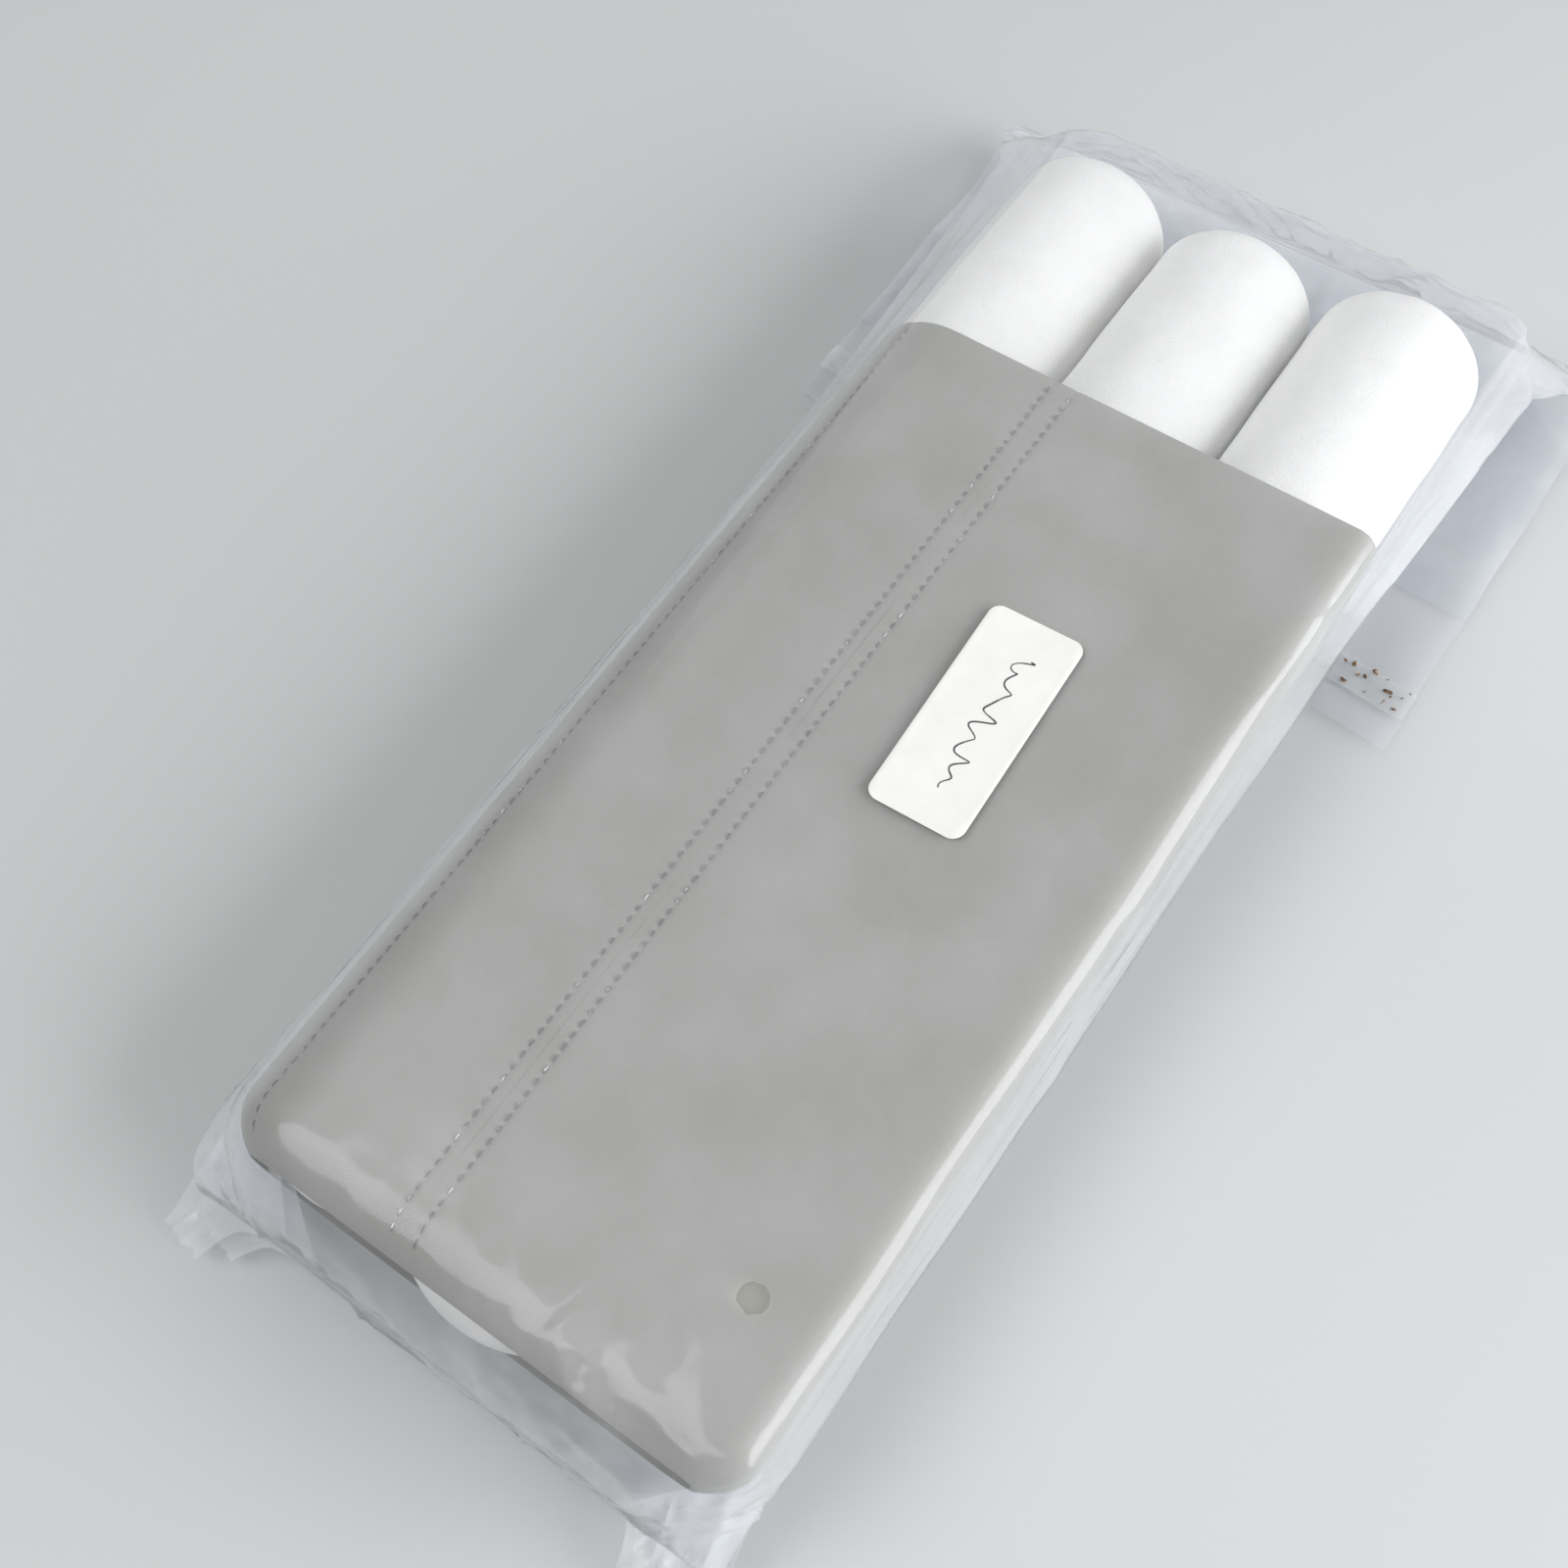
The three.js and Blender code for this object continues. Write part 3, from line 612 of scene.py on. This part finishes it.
def stitch(centre_y, row_s, random):
    """One visible stitch: a short bowed thread whose ends dive below the leather."""
    rings, sides = 9, 8
    t = np.linspace(0, 1, rings)
    length = STITCH_PITCH * (0.60 + 0.08 * random.uniform(-1, 1))
    y = centre_y + (t - 0.5) * length
    lift = 0.36 * np.sin(math.pi * t) - 0.40 + 0.04 * random.uniform(-1, 1)
    drift = 0.14 * random.uniform(-1, 1) * (t - 0.5)
    section = Section(np.full(1, row_s))
    thick = THREAD_RADIUS * (0.55 + 0.45 * np.sin(math.pi * t) ** 0.6)
    points = []
    for k in range(rings):
        radius = SLEEVE_RADIUS - float(fall(np.array(y[k]))) + lift[k]
        turn = np.arange(sides) * 2 * math.pi / sides
        side = drift[k] + thick[k] * np.cos(turn)
        rise = radius + thick[k] * 0.85 * np.sin(turn)
        nx, nz = section.nx[0], section.nz[0]
        x = section.base[0] + nx * rise + nz * side
        z = AXIS_Z + nz * rise - nx * side
        points += np.stack([x, np.full(sides, y[k]), z], 1).tolist()
    faces = [list(range(sides))[::-1], [(rings - 1) * sides + i for i in range(sides)]]
    for k in range(rings - 1):
        for i in range(sides):
            j = (i + 1) % sides
            faces.append((k * sides + i, k * sides + j, (k + 1) * sides + j, (k + 1) * sides + i))
    return points, faces


def thread_row(name, row_s, replaced, seed):
    random = np.random.default_rng(seed)
    points, faces = [], []
    for y in STITCH_YS[:-1] - STITCH_PITCH / 2:
        some_points, some_faces = stitch(y, row_s, random)
        faces += [[i + len(points) for i in f] for f in some_faces]
        points += some_points
    row = make_mesh(name, points, faces, THREAD)
    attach(row, "sleeve")
    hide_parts(replaced)


thread_row("stitches_left", ROW_S[0], "thread_seam_row_left", 61)
thread_row("stitches_right", ROW_S[1], "thread_seam_row_right", 62)
thread_row("stitches_edge", ROW_S[2], "thread_edge_row", 63)


# ---- Bag --------------------------------------------------------------------------------------

# The film starts to close this far below the place where the sleeve starts to fall.
END_ROOM = 1.2
LOW_Y = DROOP_START - END_ROOM
LOW_END_Y = bag_low[1] + EAR_LENGTH
SLOPE_Y = FOLD_Y - SLOPE_LENGTH
FLOOR_GAP = 0.12
TAIL_STACK = 0.7
TAIL_LIFT_Y = 57
LABEL_ROOM = 0.03
# Shares of the film's height by which its top comes down and its underside comes up at the lower end.
END_DROP, END_LIFT = 0.60, 0.28
FLARE_Y, FLARE_LENGTH, FLARE, MOUTH_FLARE = 60, 80, 4, 13
FILM_RADIUS = SLEEVE_RADIUS + FILM_ROOM + 0.3


def ring_shape(y):
    """Radius of the film's round sides, height of its middle and reach past the outer columns."""
    end = np.clip((LOW_Y - y) / (LOW_Y - LOW_END_Y), 0, 1)
    slope = np.clip((y - SLOPE_Y) / (FOLD_Y - SLOPE_Y), 0, 1)
    lift = TAIL_STACK * smooth((y - TAIL_LIFT_Y) / 6)
    drawn = np.sqrt(np.clip(1 - (end * 0.995) ** 2, 0, 1))
    closing = 1 - drawn
    top = FILM_TOP - (FILM_TOP * END_DROP) * closing - (FILM_TOP - FOLD_Z - 0.6) * slope ** 1.15
    bottom = FLOOR_GAP + lift + FILM_TOP * END_LIFT * closing + (FOLD_Z - TAIL_STACK - 1) * slope ** 1.5
    radius = np.maximum((top - bottom) / 2, 0.45)
    middle = (top + bottom) / 2
    flare = FLARE * smooth((y - FLARE_Y) / FLARE_LENGTH)
    wide = SLEEVE_RADIUS + FIN_WIDTH - 3 * end ** 2 + flare + MOUTH_FLARE * slope ** 0.8
    return radius, middle, np.maximum(wide, radius * 1.02)


def creased_side(radius, reach, n_flat, n_arc, fin):
    """The film's upper right quarter, over the sleeve's crease and straight to the welded edge."""
    share = radius / FILM_RADIUS
    centre_x, centre_z = CREASE_X * share, CREASE_Z * share
    round_radius = radius - centre_z
    apart = math.hypot(reach - centre_x, centre_z)
    turn = math.pi - math.atan2(reach - centre_x, centre_z) - math.acos(round_radius / apart)
    a = turn * np.arange(1, n_arc + 1) / n_arc
    over = centre_x * np.arange(1, n_flat + 1) / n_flat
    arc_x, arc_z = centre_x + round_radius * np.sin(a), centre_z + round_radius * np.cos(a)
    fin_x, fin_z = arc_x[-1] + (reach - arc_x[-1]) * fin, arc_z[-1] * (1 - fin)
    return (PITCH + np.concatenate([over, arc_x, fin_x]),
            np.concatenate([np.full(n_flat, radius), arc_z, fin_z]))


def bag_grid():
    """The film's outer face as rows along Y of closed rings, with no wrinkles yet."""
    low = np.linspace(LOW_END_Y, LOW_Y + 2, 26)
    middle = np.arange(LOW_Y + 3.2, SLOPE_Y - 2, 1.7)
    high = np.linspace(SLOPE_Y - 1, FOLD_Y, 34)
    ys = np.concatenate([low, middle, high])
    n_top, n_flat, n_arc, n_fin = 60, 5, 14, 12
    rings = []
    for y in ys:
        radius, mid, reach = ring_shape(y)
        leave = math.asin(min(1.0, radius / reach))
        a = leave * np.arange(1, n_arc + 1) / n_arc
        f = np.arange(1, n_fin + 1) / n_fin
        arc_x, arc_z = radius * np.sin(a), radius * np.cos(a)
        fin_x = arc_x[-1] + (reach - arc_x[-1]) * f
        fin_z = arc_z[-1] * (1 - f)
        side_x = PITCH + np.concatenate([arc_x, fin_x])
        side_z = np.concatenate([arc_z, fin_z])
        crease_x, crease_z = creased_side(radius, reach, n_flat, n_arc - n_flat, f)
        flat = np.linspace(-PITCH, PITCH, n_top + 1)
        x = np.concatenate([flat, crease_x, side_x[:-1][::-1], flat[::-1], -side_x, -side_x[:-1][::-1]])
        up = np.concatenate([np.full(n_top + 1, radius), crease_z, -side_z[:-1][::-1],
                             np.full(n_top + 1, -radius), -side_z, side_z[:-1][::-1]])
        rings.append(np.stack([x, np.full(len(x), y), mid + up], 1))
    return np.array(rings)


def wrinkle(grid):
    """How far each point of the film stands in or out of its smooth form."""
    x, y, z = grid[..., 0], grid[..., 1], grid[..., 2]
    aside = smooth((np.abs(x) - PITCH - 10) / 12)
    low_end = smooth((LOW_Y + 14 - y) / 22)
    high_end = smooth((y - SLOPE_Y + 12) / 24)
    calm = (1 - low_end) * (1 - high_end) * (1 - aside)
    rolled = smooth((z - AXIS_Z - 4) / 10)
    smooth_roll = 1 - 0.85 * rolled * smooth((24 - x) / 22)
    out = -0.30 * calm + 0.16 * calm * noise2(x / 21 + 3, y / 30, 31)
    out = out + 0.07 * calm * creased(x / 30 + y / 60, y / 34 - x / 70, 32)
    lengthways = creased(z / 6.5 + 0.012 * y, y / 62, 33) * 0.65 + noise2(z / 3.2, y / 26, 34) * 0.35
    out = out + aside * (0.75 * lengthways - 0.25) * (1 - 0.5 * low_end)
    fan = np.arctan2(x, 60 + np.abs(y - FOLD_Y))
    gathers = 0.9 * creased(fan * 9, y / 17, 35) + 0.45 * creased(x / 7, y / 6, 36) + 0.15
    out = out + high_end * gathers
    folds = 1.1 * creased(x / 13 + z / 22, z / 11, 37) + 0.6 * creased(x / 6, z / 5 + y / 7, 38)
    out = out + low_end * (folds - 0.3) * smooth_roll
    tongue = bump_at(x - 52 + 0.35 * (y + 138), 4.0) * smooth((-122 - y) / 5) * smooth((y + 152) / 6)
    return out + 1.6 * tongue * (z > AXIS_Z)


grid = bag_grid()
normals = grid_normals(grid, True)
outward = np.sign(((grid - grid.mean(1, keepdims=True)) * normals).sum(2).mean())
moved = grid + outward * normals * wrinkle(grid)[..., None]
moved[..., 2] = np.clip(moved[..., 2], FLOOR_GAP, FILM_TOP - LABEL_ROOM)

# The vent hole: a block of cells is left open and its rim is drawn onto a circle.
upper_half = grid[..., 2] > AXIS_Z
distance = np.hypot(grid[..., 0] - VENT[0], grid[..., 1] - VENT[1]) + 1e3 * ~upper_half
row, column = np.unravel_index(distance.argmin(), distance.shape)
away = moved[..., :2] - np.array(VENT[:2])
far = np.hypot(away[..., 0], away[..., 1])
block = np.zeros(far.shape, bool)
block[row - 2:row + 3, column - 2:column + 3] = True
rim = block.copy()
rim[row - 1:row + 2, column - 1:column + 2] = False
scale = np.where(rim, VENT[2] / np.maximum(far, 1e-6), 1.0)
moved[..., :2] = np.where(rim[..., None], np.array(VENT[:2]) + away * scale[..., None], moved[..., :2])
vent_block = (row - 2, row + 2, column - 2, column + 2)

if outward < 0:
    moved = moved[:, ::-1]
    columns = moved.shape[1]
    vent_block = (row - 2, row + 2, columns - 1 - column - 2, columns - 1 - column + 2)
bag = make_shell("film_bag", moved, FILM_WALL, FILM, around=True, hole=vent_block, closed_ends=True)
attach(bag, "bag")
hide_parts("bag_film")


def patch(name, corners, rows, columns, relief, body, material, sag):
    """A thin sheet between four corners, with wrinkles and with its free ends drawn in by sag."""
    v, u = np.meshgrid(np.linspace(0, 1, rows), np.linspace(0, 1, columns), indexing="ij")
    a, b, c, d = (np.array(p, float) for p in corners)
    u, v = u[..., None], v[..., None]
    flat = (a * (1 - u) + b * u) * (1 - v) + (d * (1 - u) + c * u) * v
    middle = (a + b + c + d) / 4
    pull = sag[0] * (4 * v * (1 - v)) * (1 - u) + sag[1] * (4 * v * (1 - v)) * u
    flat = flat + (middle - flat) * pull
    normal = grid_normals(flat)
    lifted = flat + normal * relief(u[..., 0], v[..., 0])[..., None]
    lifted[..., 2] = np.maximum(lifted[..., 2], 0.3)
    made = make_shell(name, lifted, FILM_WALL, material)
    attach(made, body)


def ear_relief(seed, height):
    def relief(u, v):
        folds = creased(u * 3.2 + 0.4 * v, v * 1.3, seed) * 0.7 + creased(u * 6, v * 4, seed + 1) * 0.3
        return height * folds * smooth(v * 4 + 0.2)
    return relief


side_x = PITCH + SLEEVE_RADIUS
patch("ear_left", [(-side_x - 3, LOW_Y + 8, 24), (-side_x + 22, LOW_END_Y + 1.5, 16),
                   (-side_x + 4, LOW_END_Y - 11, 5), (-side_x - 6, LOW_END_Y - 9, 6)],
      30, 34, ear_relief(71, 1.7), "bag", CRUMPLED_FILM, (0.05, 0.35))
patch("ear_left_fold", [(-side_x - 2, LOW_Y + 4, 20), (-side_x + 30, LOW_END_Y + 1.0, 14),
                        (-side_x + 10, LOW_END_Y - 7, 4), (-side_x - 4, LOW_END_Y - 4, 3)],
      26, 34, ear_relief(73, 1.5), "bag", CRUMPLED_FILM, (0.1, 0.3))
patch("ear_right", [(side_x + 4, LOW_Y + 4, 22), (side_x - 18, LOW_END_Y + 1.5, 18),
                    (side_x - 14, LOW_END_Y - 10, 6), (side_x + 4, LOW_END_Y - 11, 5)],
      30, 34, ear_relief(75, 1.8), "bag", CRUMPLED_FILM, (0.12, 0.1))
patch("ear_right_fold", [(side_x + 2, LOW_Y, 18), (side_x - 22, LOW_END_Y + 1.0, 12),
                         (side_x - 10, LOW_END_Y - 6, 4), (side_x + 6, LOW_END_Y - 4, 3)],
      26, 34, ear_relief(77, 1.5), "bag", CRUMPLED_FILM, (0.1, 0.2))


# ---- Tail -------------------------------------------------------------------------------------

CUT_LEFT, CUT_RIGHT = tail_low[1] + CUT_SKEW, tail_low[1]
TAIL_REST = 0.30
FLAKES = 17


def cut_edge(x):
    return (CUT_LEFT + CUT_RIGHT) / 2 + (CUT_RIGHT - CUT_LEFT) * x / (2 * TAIL_HALF)


def tail_height(x, y, seed):
    """Flat under the pack, wavy past its sides, and rising to the fold."""
    free = smooth((np.abs(x) - 56) / 18)
    waves = creased(x / 15, y / 19, seed) * 0.6 + noise2(x / 9, y / 13, seed + 1) * 0.4
    rise = np.clip((y - SLOPE_Y) / (FOLD_Y - 0.2 - SLOPE_Y), 0, 1) ** 2
    return TAIL_REST + free * (1.5 + 1.4 * waves) * (1 - rise) + (FOLD_Z - 1.4) * rise


def tail_layer(name, start_of, lift, seed, material, replaced=None):
    x = np.linspace(-TAIL_HALF, TAIL_HALF, 130)
    v = np.linspace(0, 1, 80)[:, None]
    start = start_of(x)[None]
    y = start + (FOLD_Y - 0.4 - start) * v
    xs = np.broadcast_to(x[None], y.shape)
    edge = 0.35 * noise2(y / 9, 3, seed + 4) * smooth((np.abs(xs) - 70) / 12)
    z = tail_height(xs, y, seed) + lift
    layer = np.stack([xs + np.sign(xs) * (edge - 0.4), y, z], 2)
    made = make_shell(name, layer, -FILM_WALL, material)
    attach(made, "tail")
    if replaced:
        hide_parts(replaced)


tail_layer("tail_flap", cut_edge, 0.0, 81, TAIL_FILM, "bag_tail")
tail_layer("tail_upper_layer", lambda x: MOUTH_Y + 1.2 * noise2(x / 30, 2, 83), 0.18, 82, TAIL_FILM)


def adhesive_strip():
    x = np.linspace(-TAIL_HALF + 0.5, TAIL_HALF - 0.5, 120)
    v = np.linspace(0, 1, 10)[:, None]
    inset = strip_low[1] - CUT_RIGHT
    width = strip_high[1] - strip_low[1] - (CUT_LEFT - CUT_RIGHT)
    y = cut_edge(x)[None] + inset + width * v
    xs = np.broadcast_to(x[None], y.shape)
    z = tail_height(xs, y, 81) - 0.04 + 0.05 * noise2(xs / 2.5, y / 2.5, 85)
    made = make_shell("adhesive_band", np.stack([xs, y, z], 2), 0.1, ADHESIVE)
    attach(made, "tail")
    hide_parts("adhesive_strip")
    return inset, width


strip_inset, strip_width = adhesive_strip()


def debris():
    """Flakes of dirt caught on the adhesive where it is bare, most of them at the right end."""
    random = np.random.default_rng(91)
    points, faces = [], []
    sides, rings = 6, 4
    for _ in range(FLAKES):
        x = TAIL_HALF - 1.5 - 20 * random.beta(1.2, 1.8)
        y = float(cut_edge(np.array(x))) + strip_inset + strip_width * random.uniform(0.1, 0.95)
        z = float(tail_height(np.array(x), np.array(y), 81)) + 0.35
        size = 0.2 + 0.9 * random.beta(1, 4)
        long, turn = random.uniform(1, 2.4), random.uniform(0, math.pi)
        start = len(points)
        for k in range(rings):
            level = math.pi * (k + 0.5) / rings
            for i in range(sides):
                angle = 2 * math.pi * i / sides
                r = size * math.sin(level) * random.uniform(0.7, 1.2)
                px, py = r * math.cos(angle) * long, r * math.sin(angle)
                points.append([x + px * math.cos(turn) - py * math.sin(turn),
                               y + px * math.sin(turn) + py * math.cos(turn),
                               z + 0.4 * size * math.cos(level)])
        faces.append([start + i for i in range(sides)])
        faces.append([start + (rings - 1) * sides + i for i in range(sides)][::-1])
        for k in range(rings - 1):
            for i in range(sides):
                j = (i + 1) % sides
                a = start + k * sides
                faces.append((a + j, a + i, a + sides + i, a + sides + j))
    made = make_mesh("strip_debris", points, faces, DEBRIS)
    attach(made, "tail")


debris()


# ---- Label ------------------------------------------------------------------------------------


def rounded_outline(width, length, corner, steps=8):
    points = []
    for k, (sx, sy) in enumerate(((1, -1), (1, 1), (-1, 1), (-1, -1))):
        for a in np.linspace(0, math.pi / 2, steps):
            turn = a + (k - 1) * math.pi / 2
            points.append((sx * (width / 2 - corner) + corner * math.cos(turn),
                           sy * (length / 2 - corner) + corner * math.sin(turn)))
    return np.array(points)


def turned(points):
    c, s = math.cos(math.radians(LABEL_TURN)), math.sin(math.radians(LABEL_TURN))
    return points @ np.array([[c, s], [-s, c]]) + label_centre[:2]


LABEL_GAP, PAPER_THICK, EDGE_THICK, INK_RISE = 0.02, 0.16, 0.10, 0.19


def label_lift(x, y):
    """The paper follows the film and its corners stand up a little."""
    across = smooth((np.abs(x) / LABEL_SIZE[0] * 2 - 0.6) / 0.4)
    corner = across * smooth((np.abs(y) / LABEL_SIZE[1] * 2 - 0.75) / 0.25)
    return 0.22 * corner + 0.04 * noise2(x / 6, y / 7, 95)


def label():
    outline = rounded_outline(*LABEL_SIZE, LABEL_CORNER)
    rings = [outline * t for t in (1.0, 0.985, 0.9, 0.75, 0.6, 0.45, 0.3, 0.15)]
    count = len(outline)
    base = label_low[2] + LABEL_GAP
    top, low = [], []
    for k, ring in enumerate(rings):
        place = turned(ring)
        lift = label_lift(ring[:, 0], ring[:, 1])
        thick = EDGE_THICK if k == 0 else PAPER_THICK
        top += np.column_stack([place, base + thick + lift]).tolist()
        low += np.column_stack([place, base + lift]).tolist()
    centre = turned(np.zeros((1, 2)))[0]
    points = [*top, *low, [*centre, base + PAPER_THICK], [*centre, base]]
    back = len(top)
    faces = []
    for k in range(len(rings) - 1):
        for i in range(count):
            j = (i + 1) % count
            a, b = k * count, (k + 1) * count
            faces.append((a + i, a + j, b + j, b + i))
            faces.append((back + a + i, back + b + i, back + b + j, back + a + j))
    last = (len(rings) - 1) * count
    for i in range(count):
        j = (i + 1) % count
        faces.append((i, back + i, back + j, j))
        faces.append((last + i, last + j, len(points) - 2))
        faces.append((back + last + j, back + last + i, len(points) - 1))
    made = make_mesh("paper_label", points, faces, PAPER)
    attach(made, "bag")
    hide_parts("label")


def pen_scribble():
    """A loose looping pen line along the label, which spells nothing."""
    t = np.linspace(0, 1, 260)
    loops = 2 * math.pi * (6.5 * t + 0.35 * noise2(t * 5, 5, 94))
    wide = 3.0 * (0.62 + 0.38 * noise2(t * 8, 1, 96))
    x = 1.5 + wide * np.cos(loops) + 0.8 * noise2(t * 9, 2, 97)
    y = 17 - 34 * t + 1.6 * np.sin(loops + 0.7) * (0.6 + 0.6 * noise2(t * 7, 3, 98))
    path = np.column_stack([x, y])
    step = np.gradient(path, axis=0)
    side = np.column_stack([-step[:, 1], step[:, 0]]) / np.linalg.norm(step, axis=1)[:, None]
    half = 0.16 * (1 + 0.3 * noise2(t * 30, 4, 99))[:, None]
    z = label_low[2] + INK_RISE + label_lift(x, y)
    left, right = path + side * half, path - side * half
    points = []
    for edge, rise in ((left, 0.0), (left, 0.03), (right, 0.03), (right, 0.0)):
        points.append(np.column_stack([turned(edge), z + rise]))
    count = len(t)
    faces = [[0, 3 * count, 2 * count, count], [k * count + count - 1 for k in range(4)]]
    for i in range(count - 1):
        for k in range(4):
            j = (k + 1) % 4
            faces.append((k * count + i, k * count + i + 1, j * count + i + 1, j * count + i))
    made = make_mesh("label_scribble", np.concatenate(points), faces, INK)
    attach(made, "bag")


label()
pen_scribble()


# ---- Stage, light and camera ------------------------------------------------------------------


def floor_material():
    n = Nodes("floor")
    shade = n.ramp(n.noise(600, 2), [(0.3, (0.50, 0.51, 0.52)), (0.7, (0.54, 0.55, 0.56))])
    return n.set(Base_Color=shade, Roughness=0.75, Specular_IOR_Level=0.2)


def floor():
    half, level = 3000.0, -0.02
    corners = [(-half, -half, level), (half, -half, level), (half, half, level), (-half, half, level)]
    made = make_mesh("floor", corners, [(0, 1, 2, 3)], floor_material(), False)


def softbox(name, direction, distance, size, power):
    light = bpy.data.lights.new(name, "AREA")
    light.shape = "RECTANGLE"
    light.size, light.size_y = size
    light.energy = power
    lamp = bpy.data.objects.new(name, light)
    toward = Vector(direction).normalized()
    lamp.location = toward * distance
    lamp.rotation_euler = toward.to_track_quat("Z", "Y").to_euler()
    bpy.context.scene.collection.objects.link(lamp)


def camera():
    data = bpy.data.cameras.new("camera")
    data.lens, data.sensor_width = 44.59, 36
    cam = bpy.data.objects.new("camera", data)
    cam.location = Vector((115.18, -163.21, 383.47)) * MM
    cam.rotation_euler = Euler([math.radians(a) for a in (27.611, 3.963, 35.341)], "XYZ")
    data.clip_start, data.clip_end = 0.01, 20
    bpy.context.scene.collection.objects.link(cam)
    bpy.context.scene.camera = cam


def sky():
    world = bpy.data.worlds.new("studio")
    world.use_nodes = True
    background = world.node_tree.nodes["Background"]
    background.inputs["Color"].default_value = (1.0, 0.99, 0.965, 1)
    background.inputs["Strength"].default_value = 0.26
    bpy.context.scene.world = world


floor()
softbox("key", (-0.34, -0.36, 0.87), 1.3, (0.75, 0.75), 8)
softbox("side", (0.89, 0.18, 0.42), 1.2, (1.2, 0.8), 22)
softbox("rim", (-0.45, 0.85, 0.45), 1.3, (1.6, 1.0), 4)
sky()
camera()
bpy.context.scene.view_settings.view_transform = "Standard"
bpy.context.scene.cycles.transparent_max_bounces = 32
